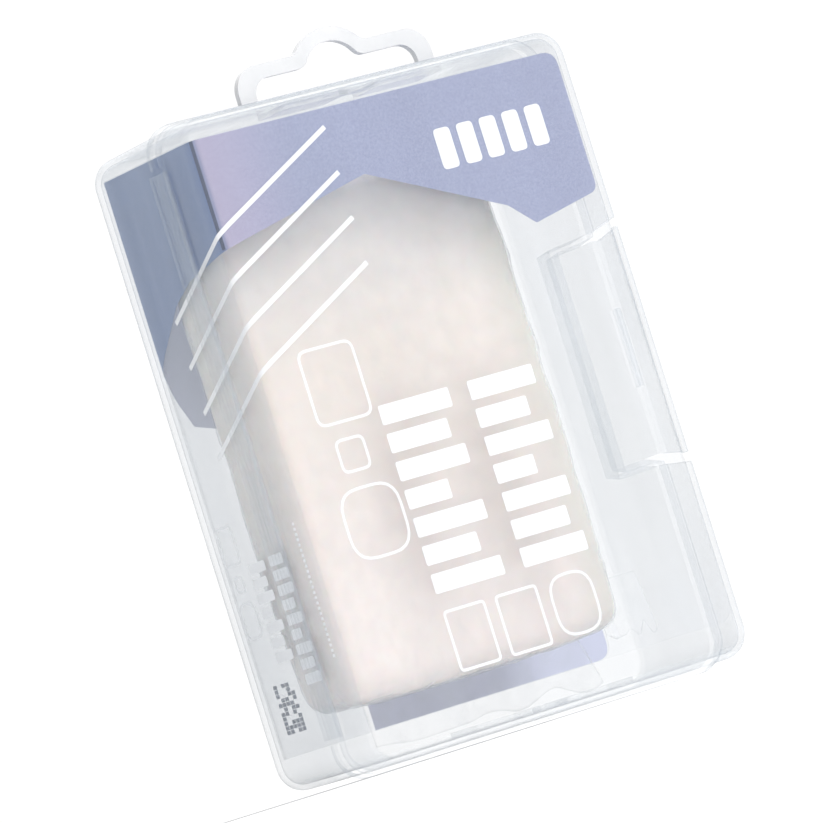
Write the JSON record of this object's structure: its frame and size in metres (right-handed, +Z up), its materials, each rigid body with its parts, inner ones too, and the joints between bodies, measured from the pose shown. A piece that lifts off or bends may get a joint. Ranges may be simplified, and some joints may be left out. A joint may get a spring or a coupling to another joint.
{
  "type": "clay bar in a hinged clear box",
  "caption": "Block of detailing clay in clear film, in an upright clear plastic box with a hinged lid, a snap latch, a printed insert and a hang loop.",
  "frame": {"origin": "middle of the flat lower edge of the rim, which the closed box stands on", "axes": "+Z up towards the hang loop, -Y out of the lid's front, +X towards the latch side"},
  "size_m": [0.0809, 0.035, 0.1248],
  "materials": {
    "clear_box": "clear polypropylene, moulded, glossy",
    "frosted_loop": "thick polypropylene, milky",
    "printed_sheet": "clear sheet printed periwinkle blue and white",
    "clay": "soft kneadable clay, cream white, slightly translucent",
    "film": "thin clear wrapping film"
  },
  "bodies": {
    "tray": {"tray": "clear_box", "hang_loop": "frosted_loop", "hinge_web": "clear_box", "printed_insert": "printed_sheet", "clay_block": "clay", "clay_wrap": "film"},
    "lid": {"lid": "clear_box"},
    "latch_tab": {"latch_tab": "clear_box"}
  },
  "joints": [
    {"name": "lid_hinge", "type": "hinge", "parent": "tray", "child": "lid", "pos_m": [-0.04265, -0.00093, 0.0575], "axis": [0, 0, -1], "range_deg": [0, 180], "deforming": ["hinge_web"]},
    {"name": "latch_flex", "type": "hinge", "parent": "lid", "child": "latch_tab", "pos_m": [0.03745, -0.0111, 0.0575], "axis": [0, 0, -1], "range_deg": [0, 12], "stiffness_Nm_per_rad": 0.03}
  ]
}
